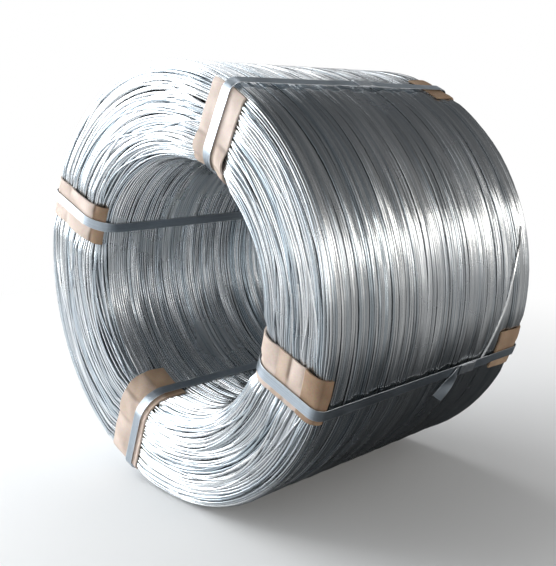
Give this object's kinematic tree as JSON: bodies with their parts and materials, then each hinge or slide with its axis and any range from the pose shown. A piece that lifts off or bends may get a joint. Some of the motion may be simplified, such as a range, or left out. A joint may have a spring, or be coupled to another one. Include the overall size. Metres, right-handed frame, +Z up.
{
  "type": "coil of galvanized wire",
  "caption": "Strapped coil of galvanized steel wire lying on its side, with kraft card pads under its flat steel straps at both ends.",
  "frame": {"origin": "on the floor under the middle of the coil", "axes": "+Y along the bore from the front end to the back end, +Z up, +X to the right when the front end is looked at"},
  "size_m": [0.6697, 0.4832, 0.6698],
  "materials": {
    "galvanized_wire": "bright zinc, satin",
    "strap_steel": "zinc grey, satin",
    "seal_steel": "zinc plated, satin",
    "kraft_card": "matt"
  },
  "bodies": {
    "root": {"wire_coil": "galvanized_wire", "steel_strap_1": "strap_steel", "steel_strap_2": "strap_steel", "steel_strap_3": "strap_steel", "steel_strap_4": "strap_steel", "strap_seal_1": "seal_steel", "strap_seal_2": "seal_steel", "strap_seal_3": "seal_steel", "strap_seal_4": "seal_steel", "front_card_pad_1": "kraft_card", "front_card_pad_2": "kraft_card", "front_card_pad_3": "kraft_card", "front_card_pad_4": "kraft_card", "back_card_pad_1": "kraft_card", "back_card_pad_2": "kraft_card", "back_card_pad_3": "kraft_card", "back_card_pad_4": "kraft_card"}
  },
  "joints": []
}
